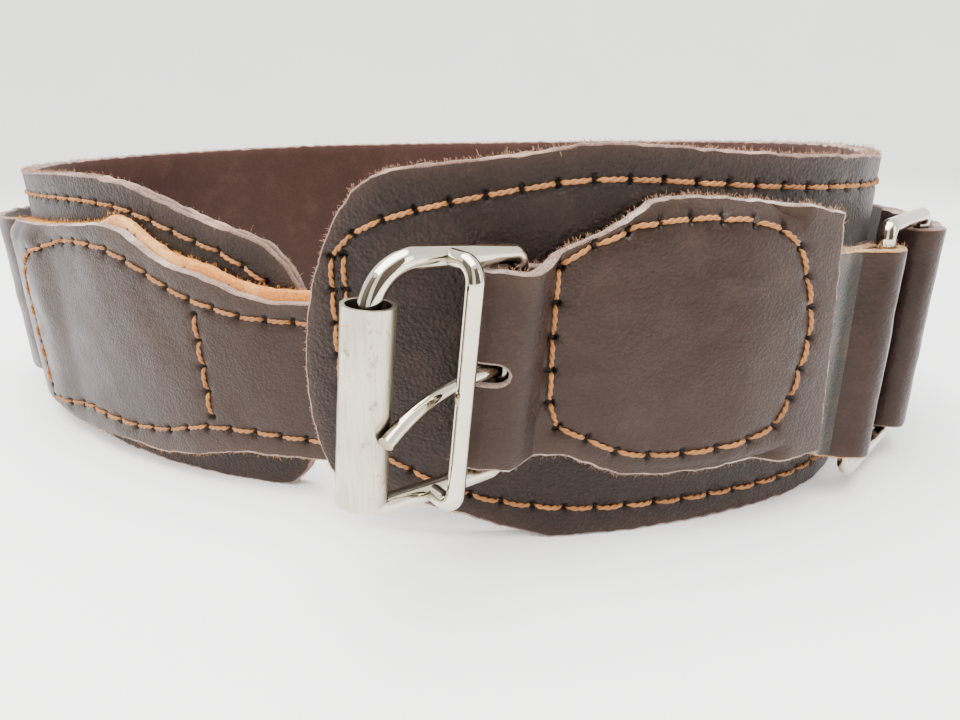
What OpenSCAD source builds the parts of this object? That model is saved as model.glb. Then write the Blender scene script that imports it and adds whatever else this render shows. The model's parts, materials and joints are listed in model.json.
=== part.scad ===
// Leather tool belt: a wide padded waist belt standing on its lower edge as a closed loop, unbuckled.
// The belt follows one plan curve. A place on it is (s, off, z): s along the curve from the buckle-side
// tip, off outward from the belt's outer face, z up. Leather parts are sheets swept along that curve.

/* [Belt] */
// Height of the wide belt
belt_h = 100; // [96:1:106]
// Thickness of the outer leather of the belt
outer_t = 2.4; // [2:0.1:3]
// Thickness of the lining of the belt
lining_t = 2.4; // [2:0.1:3]

/* [Straps and patches] */
// Width of the tool strap that runs round the outside
strap_w = 66; // [60:1:70]
// Thickness of the tool strap
strap_t = 2.6; // [2.2:0.1:2.8]
// Thickness of the two patches
patch_t = 2.8; // [2.4:0.1:3]
// Thickness of the second layer under the billet
billet_lining_t = 2.3; // [2:0.1:2.5]
// Width of the billet and of the fold that holds the buckle
billet_w = 49.4; // [46:0.2:50]
// Diameter of the punched holes in the billet
hole_d = 6; // [5:0.5:8]
// Distance between the punched holes
hole_pitch = 25; // [20:1:28]

/* [Hardware] */
// Diameter of the buckle frame's wire
wire_d = 5; // [4.4:0.1:5.2]
// Distance between the side bars of the buckle frame, centre to centre
frame_w = 56; // [55.5:0.5:60]
// Distance from the heel bar to the front bar
frame_d = 40; // [38:0.5:44]
// Outer diameter of the roller
roller_d = 11.2; // [10.8:0.1:12]
// Length of the roller
roller_l = 44; // [40:1:46]
// Diameter of the tongue's wire
tongue_d = 3.4; // [3:0.1:3.6]
// Height of the keeper bar above the frame's plane
keeper_rise = 9.5; // [9:0.1:12]
// Angle by which the buckle stands off the belt
buckle_lift = 41; // [30:1:45]
// Diameter of the side ring's rod
ring_d = 4.6; // [4:0.1:5]

/* [Thread] */
// Diameter of the sewing thread
thread_d = 1.3; // [1:0.1:1.5]
// Distance between stitches
stitch_pitch = 8.7; // [8:0.1:12]

/* [Hidden] */
$fn = 48;
glue = 0.15;             // gap between leather sheets that lie on each other
body_gap = 0.15;         // half the gap where the belt flexes
leather = "#4a3a36";
lining_colour = "#5f4640";
edge_colour = "#b08f72";
thread_colour = "#b87b48";
steel = "#d9d9d6";

// Plan curve of the belt's outer face: start, heading, then pairs of arc length and turn
plan_start = [-23.6, -121.1];
plan_heading = -22;
plan = [[60, 22], [80, 25], [50, 35], [120, 39], [110, 47], [110, 25],
        [130, 40], [100, 49], [90, 47], [158, 44]];
plan_len = sum([for (p = plan) p[0]]);
// The billet leaves the left tip and runs on behind the buckle-side panel
billet_run = [[60, 14], [100, 38]];
billet_end = plan_len + 150;
route = concat(plan, billet_run);

flex_s = 380;            // where the belt bends as the buckle side is opened
tip_s = 3;               // buckle-side tip of the belt
left_tip_s = 1003;       // left tip of the belt
fold_s = 53;             // middle of the turn in which the buckle hangs
heel_s = 58;             // heel bar of the buckle
near_s = 163;            // near bar of the side ring
far_s = 196.5;           // far bar of the side ring
patch_end_s = 146;       // raw end of the buckle patch
left_patch_s = 848;      // raw end of the billet patch
strap_join_s = 366;      // the tool strap lies against the belt from here
strap_leave_s = 700;     // ... to here
strap_land_s = 838;      // ... and comes down to it again here
strap_tail_s = 880;      // end of the tool strap, under the billet patch
mid_z = 53;              // middle of the buckle and of its patch's fold
fold_tilt = 6.3;         // lean of the heel bar along the belt

function arc_end(p, g, l) =
    let (k = g[1] / g[0], a = k * l, r = 180 / (PI * k))
    [p[0] + r * (sin(p[2] + a) - sin(p[2])), p[1] - r * (cos(p[2] + a) - cos(p[2])), p[2] + a];
function walk(s, i = 0, p = [plan_start[0], plan_start[1], plan_heading]) =
    s <= route[i][0] || i == len(route) - 1
        ? arc_end(p, route[i], s)
        : walk(s - route[i][0], i + 1, arc_end(p, route[i], route[i][0]));
function along(h) = [cos(h), sin(h)];
function outward(h) = [sin(h), -cos(h)];
function flat(s, off) = let (w = walk(s)) [w[0], w[1]] + off * outward(w[2]);
function at(s, off, z) = let (p = flat(s, off)) [p[0], p[1], z];
function steps(a, b, d) = let (n = ceil(abs(b - a) / d)) [for (i = [0 : n]) a + (b - a) * i / n];
function sum(v, i = 0) = i < len(v) ? v[i] + sum(v, i + 1) : 0;
function joined(list) = [for (a = list, b = a) b];
function quarter(r, w) = r < w ? 1 - sqrt(max(0, 1 - pow(1 - r / w, 2))) : 0;
function ease(t) = t <= 0 ? 0 : t >= 1 ? 1 : t * t * (3 - 2 * t);

// Upper and lower edges of the wide belt, each with a rounded tip at both ends
function belt_top(s) = belt_h
    + lookup(s, [[3, -8.7], [20, -2.5], [34, -0.2], [50, 1.2], [68, 3], [77, 4.5], [92, 4], [108, 2.5],
                 [135, 0.4], [189, -1.5], [260, 0], [620, 0], [843, -4.7], [904, -3.5], [923, -4],
                 [938, -5.8], [951, -9.5], [969, -15.8], [979, -18.9], [988, -21.5], [1003, -24]])
    - 49 * quarter(s - tip_s, 28) - 36 * quarter(left_tip_s - s, 18);
function belt_low(s) = lookup(s, [[3, 12.5], [37, 9.9], [69, 0]])
    + 28.5 * quarter(s - tip_s, 13) + 37 * quarter(left_tip_s - s, 18);

// Buckle patch: a narrow fold that widens over the loop of the side ring
function patch_top(s) = lookup(s, [[63, mid_z + billet_w / 2], [67, 81.3], [76, 84.2], [84, 88.6], [89, 91.8],
                                   [100, 92.3], [117, 91], [137, 88.6], [148, 85.7]]);
function patch_low(s) = lookup(s, [[74, mid_z - billet_w / 2], [79, 26], [90, 19.9], [99, 18.3],
                                   [115, 17.6], [143, 18.6], [150, 17.5]]);
// Billet patch on the left, narrowing to the billet
function left_top(s) = lookup(s, [[848, 78], [891, 79.7], [935, 82.5], [942.5, 80.7], [948, 76.6], [958, 71.5],
                                  [971, 68.7], [980, 64.8], [991, 62.4]]);
function left_low(s) = lookup(s, [[848, 3], [900, 6], [926, 7.9], [941, 7], [960, 9.6],
                                  [975, 62.4 - billet_w]]);
strap_low = 11;
loop_w = strap_w - 4;    // the ring's loop is a little narrower than the strap
loop_low = 13.5;
loop_tail_s = [124, 131, 138, 145, 154];
loop_tail_low = [27, 27, 25, 20, loop_low];
loop_top = loop_low + loop_w;

// How far the patch stands off the belt over the layers beneath it; it comes down at its stitched rim
function rim(z, lo, hi) = ease(min(z - lo - 1, hi - 1 - z) / 5);
function patch_lift(s, z) = let (under = lookup(s, [[70, 2.95], [100, 3.1], [118, 5.7], [154, 5.7]]))
    glue + (under - glue) * max(rim(z, patch_low(s), patch_top(s)), ease((96 - s) / 20), ease((s - 126) / 8));
function left_under(s, z) = glue + lookup(s, [[848, 2.9], [884, 2.9], [896, 0]])
    * ease(min(z - left_low(s), left_top(s) - z) / 6);
function left_lift(s, z) = left_under(s, z) + billet_lining_t + 2 * glue;

// The tool strap's middle surface: over the side ring's far bar, along the back and under the left patch
strap_rest = glue + strap_t / 2;
near_off = 9.3;
far_off = 14;
loop_r = ring_d / 2 + 0.6 + strap_t / 2;
far_loop_r = loop_r + 1.2;
function strap_off(s) =
    s < strap_join_s ? strap_rest + (far_off + far_loop_r - strap_rest) * pow(cos(90 * (s - far_s) / (strap_join_s - far_s)), 2)
    : s < strap_leave_s ? strap_rest
    : s < strap_land_s ? strap_rest + 15 * sin(180 * pow((strap_land_s - s) / (strap_land_s - strap_leave_s), 0.6))
    : strap_rest;

// A sheet of even thickness about a grid of middle points: stations along the belt, each a column of points
module sheet(mid, t) {
    n = len(mid);
    m = len(mid[0]);
    function side(i, j) =
        let (a = mid[max(0, i - 1)][j], b = mid[min(n - 1, i + 1)][j], d = [b[0] - a[0], b[1] - a[1]])
        [d[1], -d[0], 0] / norm(d) * t / 2;
    points = concat([for (i = [0 : n - 1], j = [0 : m - 1]) mid[i][j] + side(i, j)],
                    [for (i = [0 : n - 1], j = [0 : m - 1]) mid[i][j] - side(i, j)]);
    function o(i, j) = i * m + j;
    function q(i, j) = n * m + i * m + j;
    function quad(a, b, c, d) = [[a, b, c], [a, c, d]];
    faces = joined(concat(
        [for (i = [0 : n - 2], j = [0 : m - 2]) quad(o(i, j), o(i, j + 1), o(i + 1, j + 1), o(i + 1, j))],
        [for (i = [0 : n - 2], j = [0 : m - 2]) quad(q(i, j), q(i + 1, j), q(i + 1, j + 1), q(i, j + 1))],
        [for (i = [0 : n - 2]) quad(o(i, 0), o(i + 1, 0), q(i + 1, 0), q(i, 0))],
        [for (i = [0 : n - 2]) quad(o(i, m - 1), q(i, m - 1), q(i + 1, m - 1), o(i + 1, m - 1))],
        [for (j = [0 : m - 2]) quad(o(0, j), q(0, j), q(0, j + 1), o(0, j + 1))],
        [for (j = [0 : m - 2]) quad(o(n - 1, j), o(n - 1, j + 1), q(n - 1, j + 1), q(n - 1, j))]));
    polyhedron(points = points, faces = faces);
}

// A sheet of the wide belt between two stations
module belt_sheet(a, b, off, t) {
    near_tip = [0.6, 2, 4.5, 8, 12, 17, 22];
    fine = concat([for (r = near_tip) tip_s + r], steps(32, flex_s, 8), steps(flex_s, left_tip_s - 28, 8),
                  [for (r = near_tip) left_tip_s - r]);
    inside = [for (s = fine) if (s > a + 0.5 && s < b - 0.5) s];
    stations = concat([a], sorted(inside), [b]);
    sheet([for (s = stations) [for (z = [belt_low(s), belt_top(s)]) at(s, off, z)]], t);
}
function sorted(v) = len(v) < 2 ? v : let (p = v[floor(len(v) / 2)])
    concat(sorted([for (x = v) if (x < p) x]), [p], sorted([for (x = v) if (x > p) x]));

// A strip along plan points, its lower and upper edges given at each point
module strip(pts, low, high, t) {
    sheet([for (i = [0 : len(pts) - 1]) [for (z = [low[i], high[i]]) [pts[i][0], pts[i][1], z]]], t);
}

// A turn round a vertical bar, from the side facing the belt to the outer side
function turn(centre, h, r, dir, a0 = 0, a1 = 180) =
    [for (a = steps(a0, a1, 20)) centre - r * cos(a) * outward(h) + dir * r * sin(a) * along(h)];

near_bar = flat(near_s, near_off);
far_bar = flat(far_s, far_off);
near_h = walk(near_s)[2];
far_h = walk(far_s)[2];

module belt_outer_wing() color(leather) belt_sheet(tip_s, flex_s - body_gap, -outer_t / 2, outer_t);
module belt_outer_rear() color(leather) belt_sheet(flex_s + body_gap, left_tip_s, -outer_t / 2, outer_t);
lining_off = -outer_t - glue - lining_t / 2;
module belt_lining_wing() color(lining_colour) belt_sheet(tip_s, flex_s - body_gap, lining_off, lining_t);
module belt_lining_rear() color(lining_colour) belt_sheet(flex_s + body_gap, left_tip_s, lining_off, lining_t);

// Patch that folds loosely round the heel bar: tail against the belt, turn, then the front
heel_off = glue + patch_t + wire_d / 2 + 0.2;
fold_r = 5.4;
fold_off = glue + patch_t / 2 + fold_r;
front_rest = glue + patch_t * 1.5;
function lean(s, z) = (z - mid_z) * (tan(fold_tilt) * (1 - ease((s - 75) / 40)) - 0.07 * ease((s - 110) / 30));
function front_off(s, z) = s < 68
    ? front_rest + (fold_off + fold_r - front_rest) * (1 - ease((s - heel_s - 1.5) / 8))
    : patch_lift(s, z) + patch_t / 2;
// The fold's edges run square to the leaning heel bar
function fold_rise(s) = (heel_s - s) * tan(fold_tilt) * (1 - ease((s - 60) / 10));
function tail_w(s) = billet_w - 5 * ease((s - 68) / 10);
module buckle_patch() {
    rows = [0, 0.03, 0.085, 0.5, 0.915, 0.97, 1];
    h = walk(fold_s)[2];
    tail = [for (s = steps(92, fold_s, 5)) [for (u = rows) let (z = mid_z + (u - 0.5) * tail_w(s) + fold_rise(s))
            at(s + lean(s, z), fold_off - fold_r, z)]];
    bend = [for (a = [20 : 20 : 160]) [for (u = rows)
            let (z = mid_z + (u - 0.5) * billet_w + fold_rise(fold_s - fold_r * sin(a)),
            c = flat(fold_s + lean(fold_s, z), fold_off),
            p = c - fold_r * cos(a) * outward(h) - fold_r * sin(a) * along(h)) [p[0], p[1], z]]];
    front = [for (s = concat(steps(fold_s, 59, 3), steps(60.5, 68, 1.25), steps(71, 86, 5), steps(91, patch_end_s, 5)))
            [for (u = rows) let (z = patch_low(s) + u * (patch_top(s) - patch_low(s)) + fold_rise(s))
            at(s + lean(s, z), front_off(s, z), z)]];
    color(leather) difference() {
        sheet(concat(tail, bend, front), patch_t);
        tongue_slot();
    }
}
// Room for the tongue and its eye: through the front as far as the heel bar, further on in the tail
module tongue_slot() at_heel() {
    translate([-14, -14, -slot_w / 2]) cube([14.5, 28, slot_w]);
    translate([-14, -1.5, -slot_w / 2]) cube([19.5, 8, slot_w]);
}

left_rows = [0, 0.04, 0.09, 0.5, 0.91, 0.96, 1];
left_stations = concat(steps(left_patch_s, 932, 6), steps(936, 1000, 5));
billet_stations = steps(1006, billet_end, 6);
module billet_patch() {
    under_patch = [for (s = left_stations)
        [for (u = left_rows) let (z = left_low(s) + u * (left_top(s) - left_low(s)))
        at(s, left_lift(s, z) + patch_t / 2, z)]];
    free = [for (s = billet_stations)
        [for (u = left_rows) let (e = billet_tip(s), z = left_low(1000) + e + u * (billet_w - 2 * e))
        at(s, left_lift(1000, mid_z) + patch_t / 2, z)]];
    color(leather) difference() {
        sheet(concat(under_patch, free), patch_t);
        billet_holes();
    }
}
function billet_tip(s) = let (r = billet_end - s) r < 24 ? 14 * pow(1 - r / 24, 1.6) : 0;

// Second layer under the billet and its patch
module billet_lining() {
    under_patch = [for (s = left_stations)
        [for (u = left_rows) let (z = left_low(s) + u * (left_top(s) - left_low(s)))
        at(s, left_under(s, z) + billet_lining_t / 2, z)]];
    free = [for (s = billet_stations)
        [for (u = left_rows) let (e = billet_tip(s), z = left_low(1000) + e + u * (billet_w - 2 * e))
        at(s, left_under(1000, mid_z) + billet_lining_t / 2, z)]];
    color(edge_colour) difference() {
        sheet(concat(under_patch, free), billet_lining_t);
        billet_holes();
    }
}

// Five punched holes along the middle of the billet
module billet_holes() {
    for (i = [0 : 4]) {
        s = plan_len + 22 + i * hole_pitch;
        w = walk(s);
        translate(at(s, 0, (left_low(1000) + left_top(1000)) / 2))
            rotate([90, 0, w[2]]) cylinder(d = hole_d, h = 30, center = true);
    }
}

module tool_strap_wing() {
    back_run = [for (s = steps(244, 226, 6)) flat(s, strap_off(s) - strap_t - glue)];
    fold = turn(far_bar, far_h, far_loop_r, -1);
    out_run = [for (s = concat(steps(far_s + 5, 372, 8), [flex_s - body_gap])) flat(s, strap_off(s))];
    pts = concat(back_run, fold, out_run);
    color(leather) strip(pts, [for (p = pts) strap_low], [for (p = pts) strap_low + strap_w], strap_t);
}
module tool_strap_rear() {
    stations = concat([flex_s + body_gap], steps(386, strap_tail_s, 7));
    trim = [for (s = stations) 8 * ease((s - left_patch_s + 10) / 8)];
    color(leather) strip([for (s = stations) flat(s, strap_off(s))], [for (e = trim) strap_low + e],
                         [for (e = trim) strap_low + strap_w - e], strap_t);
}

// Folded loop that holds the near bar of the side ring; both its tails lie under the buckle patch
module ring_loop() {
    last = len(loop_tail_s) - 1;
    inner = [for (s = loop_tail_s) flat(s, glue + strap_t / 2)];
    outer = [for (i = [last : -1 : 0]) flat(loop_tail_s[i], 2 * glue + strap_t * 1.5)];
    bend = turn(near_bar, near_h, loop_r, 1, 20, 232);
    low = concat(loop_tail_low, [for (p = bend) loop_low], [for (i = [last : -1 : 0]) loop_tail_low[i]]);
    color(leather) strip(concat(inner, bend, outer), low, [for (z = low) loop_top], strap_t);
}

// A rod bent into a rectangle in the XZ plane, its corner centres at the given radii
module rod_bend(r, d) rotate([90, 0, 0]) rotate_extrude(angle = 90) translate([r, 0]) circle(d = d);
module rod_frame(w, h, d, r0, top, low) {
    module half(r) {
        translate([r0, 0, h / 2]) rotate([0, 90, 0]) cylinder(d = d, h = w - r0 - r);
        translate([r0, 0, h / 2 - r0]) mirror([1, 0, 0]) rod_bend(r0, d);
        translate([w - r, 0, h / 2 - r]) rod_bend(r, d);
    }
    half(top);
    mirror([0, 0, 1]) half(low);
    translate([0, 0, -h / 2 + r0]) cylinder(d = d, h = h - 2 * r0);
    translate([w, 0, -h / 2 + low]) cylinder(d = d, h = h - top - low);
}

// The rectangular ring at the side, between its two leather loops
ring_in_h = strap_w + 3;
ring_w = norm(far_bar - near_bar);
ring_dir = atan2(far_bar[1] - near_bar[1], far_bar[0] - near_bar[0]);
module side_ring() color(steel)
    translate([near_bar[0], near_bar[1], strap_low + strap_w / 2]) rotate([0, 0, ring_dir])
        rod_frame(ring_w, ring_in_h + ring_d, ring_d, 3, 3, 3);

// Heel bar's place, X along the belt, Y towards it, Z up the bar
module at_heel()
    translate(at(heel_s, heel_off, mid_z)) rotate([0, 0, walk(heel_s)[2]]) rotate([0, fold_tilt, 0]) children();
// The buckle's own frame: X from the heel bar to the roller, Y away from the belt, Z along the heel bar
module at_buckle() at_heel() rotate([0, 0, 180 + buckle_lift]) children();

heel_bend = 2.5;
front_bend_top = 11;
front_bend_low = 7;
roller_slip = -2.6;        // the roller has slid down its bar
keeper_x = 21;
keeper_bend = 4;
keeper_d = 4.2;
module buckle_frame() color(steel) at_buckle()
    rod_frame(frame_d, frame_w, wire_d, heel_bend, front_bend_top, front_bend_low);
module buckle_roller() color(steel) at_buckle() translate([frame_d, 0, roller_slip - roller_l / 2]) difference() {
    cylinder(d = roller_d, h = roller_l);
    translate([0, 0, -1]) cylinder(d = roller_d - 1.8, h = roller_l + 2);
}

// Raised bar that holds the billet's end down, its legs standing on the side bars
module buckle_keeper() color(steel) at_buckle() difference() {
    translate([keeper_x, 0, 0]) {
        for (m = [0, 1]) mirror([0, 0, m]) {
            translate([0, 0, frame_w / 2]) rotate([-90, 0, 0]) cylinder(d = keeper_d, h = keeper_rise - keeper_bend);
            translate([0, keeper_rise - keeper_bend, frame_w / 2 - keeper_bend]) rotate([0, 0, 90])
                rod_bend(keeper_bend, keeper_d);
        }
        translate([0, keeper_rise, -frame_w / 2 + keeper_bend]) cylinder(d = keeper_d, h = frame_w - 2 * keeper_bend);
    }
    for (m = [-1, 1]) translate([0, 0, m * frame_w / 2]) rotate([0, 90, 0]) cylinder(d = wire_d, h = frame_d);
}

// Tongue: an eye round the heel bar and a bowed shank that comes to rest over the roller
eye_bore = wire_d / 2 + 0.1;
eye_wall = 1.9;
eye_h = 4.6;
slot_w = 6.4;
tongue_start = [4, 1, 0];
tongue_mid = [20, 2.5, -1.5];
tongue_end = [frame_d - 0.5, roller_d / 2 + tongue_d / 2 + 0.5, -8];
// A round wire bent along the arc through three points
module wire_arc(p, q, e, d) {
    a = q - p;
    b = e - p;
    n = cross(a, b);
    c = p + (cross(n, a) * (b * b) + cross(b, n) * (a * a)) / (2 * (n * n));
    r = norm(p - c);
    x = (p - c) / r;
    z = n / norm(n);
    y = cross(z, x);
    m = [for (i = [0 : 2]) [x[i], y[i], z[i], c[i]]];
    multmatrix(m) rotate_extrude(angle = atan2((e - c) * y, (e - c) * x)) translate([r, 0]) circle(d = d);
}
module buckle_tongue() color(steel) at_buckle() {
    difference() {
        translate([0, 0, -eye_h / 2]) cylinder(r = eye_bore + eye_wall, h = eye_h);
        translate([0, 0, -eye_h]) cylinder(r = eye_bore, h = 2 * eye_h);
    }
    wire_arc(tongue_start, tongue_mid, tongue_end, tongue_d);
}

// One stitch is a short round bar on the leather between two points
module stitch(p, q) {
    d = q - p;
    translate(p) rotate([0, acos(d[2] / norm(d)), atan2(d[1], d[0])]) cylinder(d = thread_d, h = norm(d), $fn = 16);
}
// Stitches along a run of (s, z) points at a height above the belt given by a function
function run_len(v, i = 0) = i >= len(v) - 1 ? 0 : norm(v[i + 1] - v[i]) + run_len(v, i + 1);
function run_at(v, l, i = 0) = let (d = norm(v[i + 1] - v[i]))
    l <= d || i >= len(v) - 2 ? v[i] + (v[i + 1] - v[i]) * l / d : run_at(v, l - d, i + 1);
module stitch_run(v, lift) {
    total = run_len(v);
    n = max(1, round(total / stitch_pitch));
    step = total / n;
    for (i = [0 : n - 1]) {
        a = run_at(v, step * (i + 0.14));
        b = run_at(v, step * (i + 0.86));
        c = (a + b) / 2;
        rise = max(lift(a[0], a[1]), lift(c[0], c[1]), lift(b[0], b[1])) + thread_d / 2 + 0.2;
        stitch(at(a[0], rise, a[1]), at(b[0], rise, b[1]));
    }
}
on_belt = function (s, z) 0;
on_patch = function (s, z) front_off(s - lean(s, z), z) + patch_t / 2;
on_left = function (s, z) left_lift(s, z) + patch_t;
on_strap = function (s, z) strap_off(s) + strap_t / 2;
top_row = function (s) belt_top(s) - 8;

module belt_thread_wing() color(thread_colour) {
    stitch_run(concat([[13.5, 35], [13.5, 78], [20, 84], [29, 88], [44, 91.5]],
                      [for (s = [60, 77, 92, 135, 200, 260, 376]) [s, top_row(s)]]), on_belt);
    stitch_run([[24, 24], [30, 20.6], [37, 17.4], [50, 12.5], [60, 10.6], [72, 9], [90, 8], [130, 7], [376, 7]], on_belt);
    stitch_run([[17.2, 34], [17.2, 79]], on_belt);
}
module belt_thread_rear() color(thread_colour) {
    stitch_run(concat([for (s = [384, 620, 843, 904, 925, 940, 953, 976]) [s, top_row(s)]], [[988, 66.5]]), on_belt);
    stitch_run([[384, 7], [620, 7], [836, 7]], on_belt);
}
module patch_thread() color(thread_colour) {
    stitch_run([[70.5, 75], [75, 80], [84, 83.5], [90, 85.5], [101.5, 86.9], [114.5, 86], [126, 83.3], [130, 80],
                [135.5, 67], [137, 55], [134, 37], [129.5, 28.5], [107.5, 25.6], [88.5, 26.3], [81, 31],
                [74, 34.4], [68.8, 37], [69.3, 61], [70.4, 74.8]], on_patch);
}
module billet_thread() color(thread_colour) {
    stitch_run([[870, 16], [866, 30], [868, 58], [880, 69], [903, 75], [920, 76], [935, 74], [945, 70], [953, 66],
                [962, 62], [970, 60], [983, 57], [plan_len - 8, 55.5]], on_left);
    stitch_run([[870, 11], [900, 15], [930, 14], [945, 15.5], [962, 20], [974, 20.5], [plan_len - 8, 19]], on_left);
    stitch_run([[965.5, 57], [966.5, 24]], on_left);
    for (z = [19, 56]) stitch_run([[plan_len + 2, z], [billet_end - 22, z]], function (s, z) left_lift(1000, mid_z) + patch_t);
}
module strap_thread_rear() color(thread_colour)
    for (z = [strap_low + 6, strap_low + strap_w - 6]) stitch_run([[384, z], [strap_leave_s - 4, z]], on_strap);
module strap_thread_wing() color(thread_colour)
    stitch_run([[236, strap_low + 6], [236, strap_low + strap_w - 6]], on_strap);

belt_outer_wing();
belt_outer_rear();
belt_lining_wing();
belt_lining_rear();
tool_strap_wing();
tool_strap_rear();
ring_loop();
side_ring();
buckle_patch();
billet_patch();
billet_lining();
buckle_frame();
buckle_roller();
buckle_keeper();
buckle_tongue();
belt_thread_wing();
belt_thread_rear();
patch_thread();
billet_thread();
strap_thread_rear();
strap_thread_wing();
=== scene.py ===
"""Tool belt: leather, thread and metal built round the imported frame.

A leather piece is a flat cut in (run, z) millimetres, laid on a middle surface that maps each
point of the cut to a place in the row frame. The belt's own run is s, the arc length along its
outer face from the buckle-side tip. Lengths are in millimetres until a mesh is made.
"""
import json
import math

import bpy
import numpy as np
from mathutils import Matrix, Vector
from mathutils.geometry import delaunay_2d_cdt
from mathutils.kdtree import KDTree


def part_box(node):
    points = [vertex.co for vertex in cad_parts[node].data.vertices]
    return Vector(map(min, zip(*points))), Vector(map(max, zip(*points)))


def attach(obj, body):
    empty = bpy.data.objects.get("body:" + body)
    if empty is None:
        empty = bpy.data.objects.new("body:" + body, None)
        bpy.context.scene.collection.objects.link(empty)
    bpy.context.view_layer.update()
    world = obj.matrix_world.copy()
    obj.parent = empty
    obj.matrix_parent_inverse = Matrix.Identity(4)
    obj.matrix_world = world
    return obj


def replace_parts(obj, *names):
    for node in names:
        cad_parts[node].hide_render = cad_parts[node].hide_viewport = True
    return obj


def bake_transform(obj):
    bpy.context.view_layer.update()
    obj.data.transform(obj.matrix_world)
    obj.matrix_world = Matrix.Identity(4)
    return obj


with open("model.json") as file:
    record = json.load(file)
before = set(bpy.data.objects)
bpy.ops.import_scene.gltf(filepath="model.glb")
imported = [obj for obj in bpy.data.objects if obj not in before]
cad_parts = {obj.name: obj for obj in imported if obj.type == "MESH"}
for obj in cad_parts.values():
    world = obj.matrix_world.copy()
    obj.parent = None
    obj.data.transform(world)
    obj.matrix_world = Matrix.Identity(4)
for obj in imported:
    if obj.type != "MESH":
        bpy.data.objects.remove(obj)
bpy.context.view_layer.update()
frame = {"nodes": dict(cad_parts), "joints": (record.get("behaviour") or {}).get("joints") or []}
MM = 0.001

# ---------------- sizes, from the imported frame
joints = {j["name"]: j for j in frame["joints"]}


def low_high(node):
    """Lowest and highest corner of a CAD node, in millimetres."""
    return tuple(np.array(corner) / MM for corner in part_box(node))


BELT_H = low_high("belt_outer_rear")[1][2]
STRAP_LOW, STRAP_TOP = (corner[2] for corner in low_high("tool_strap_rear"))
LOOP_TOP = low_high("ring_loop")[1][2]
HEEL_Z = joints["buckle_tilt"]["pos_m"][2] / MM
OUTER_T = 2.4
LINING_T = 2.4
STRAP_T = 2.6
PATCH_T = 2.8
BILLET_LINING_T = 2.3
BILLET_W = 49.4
GLUE = 0.15
RING_D = 4.6
STITCH_PITCH = 8.7
HOLES = 5
HOLE_PITCH = 25
HOLE_R = 3.0

# Plan curve of the belt's outer face: start, heading, then pairs of arc length and turn
PLAN_START = (-23.6, -121.1)
PLAN_HEADING = -22
PLAN = [(60, 22), (80, 25), (50, 35), (120, 39), (110, 47), (110, 25), (130, 40), (100, 49),
        (90, 47), (158, 44)]
BILLET_RUN = [(60, 14), (100, 38)]
PLAN_LEN = sum(length for length, turn in PLAN)
BILLET_END = PLAN_LEN + 150
ROUTE = PLAN + BILLET_RUN

# Places along the belt, as arc length from the start of the plan curve
SPLIT_S = 450
TIP_S = 3
LEFT_TIP_S = 1003
FOLD_S = 53
HEEL_S = 58
NEAR_S = 163
FAR_S = 196.5
PATCH_END_S = 146
LEFT_PATCH_S = 848
STRAP_JOIN_S = 366
STRAP_LEAVE_S = 700
STRAP_LAND_S = 838
STRAP_TAIL_S = 880
FOLD_TILT = math.radians(6.3)
LEFT_TOP = 62.4
BILLET_LOW = LEFT_TOP - BILLET_W


# ---------------- places along the belt
def route_marks():
    """Arc length, x, y and heading at the start of each arc of the route."""
    marks = [(0.0, *PLAN_START, math.radians(PLAN_HEADING))]
    for length, turn in ROUTE:
        s, x, y, h = marks[-1]
        a = math.radians(turn)
        r = length / a
        x, y = x + r * (math.sin(h + a) - math.sin(h)), y - r * (math.cos(h + a) - math.cos(h))
        marks.append((s + length, x, y, h + a))
    return np.array(marks)


MARKS = route_marks()
CURVATURE = np.array([math.radians(turn) / length for length, turn in ROUTE])


def walk(s):
    """x, y and heading at arc length s, for an array of s."""
    i = np.clip(np.searchsorted(MARKS[:, 0], s, side="right") - 1, 0, len(ROUTE) - 1)
    s0, x, y, h = MARKS[i].T
    k = CURVATURE[i]
    a = k * (s - s0)
    return x + (np.sin(h + a) - np.sin(h)) / k, y - (np.cos(h + a) - np.cos(h)) / k, h + a


def spot(s, off, z):
    """The point at arc length s, off millimetres outward from the belt's outer face, at height z."""
    x, y, h = walk(s)
    return np.stack([x + off * np.sin(h), y - off * np.cos(h), z + 0 * s], -1)


def ease(t):
    """A smooth step from 0 to 1."""
    t = np.clip(t, 0, 1)
    return t * t * (3 - 2 * t)


def soft_lookup(x, table, soft=5.0):
    """Linear lookup in (x, y) pairs with its corners rounded over soft millimetres each way."""
    xs, ys = zip(*table)
    return np.mean([np.interp(x + d, xs, ys) for d in np.linspace(-soft, soft, 7)], 0)


def waves(x, y, size, seed, count=9):
    """Smooth noise of about -1 to 1 with bumps of the given size."""
    draw = np.random.default_rng(seed)
    total = 0
    for _ in range(count):
        angle, phase = draw.uniform(0, math.tau), draw.uniform(0, math.tau)
        stretch = draw.uniform(0.7, 1.5)
        across = x * math.cos(angle) + y * math.sin(angle)
        total = total + np.sin(across * math.tau / (size * 2 * stretch) + phase)
    return total / math.sqrt(count)


def quarter(r, w):
    """Fall of a rounded corner of width w at distance r from its end, from 1 to 0."""
    return 1 - np.sqrt(np.clip(1 - (1 - np.clip(r / w, 0, 1)) ** 2, 0, 1))


def belt_top(s):
    """Upper edge of the wide belt, rounded off at both ends."""
    line = soft_lookup(s, [(3, -8.7), (20, -2.5), (34, -0.2), (50, 1.2), (68, 3), (77, 4.5), (92, 4),
                           (108, 2.5), (135, 0.4), (189, -1.5), (260, 0), (620, 0), (843, -4.7),
                           (904, -3.5), (923, -4), (938, -5.8), (951, -9.5), (969, -15.8),
                           (979, -18.9), (988, -21.5), (1003, -24)], 3)
    return BELT_H + line - 49 * quarter(s - TIP_S, 28) - 36 * quarter(LEFT_TIP_S - s, 18)


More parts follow.
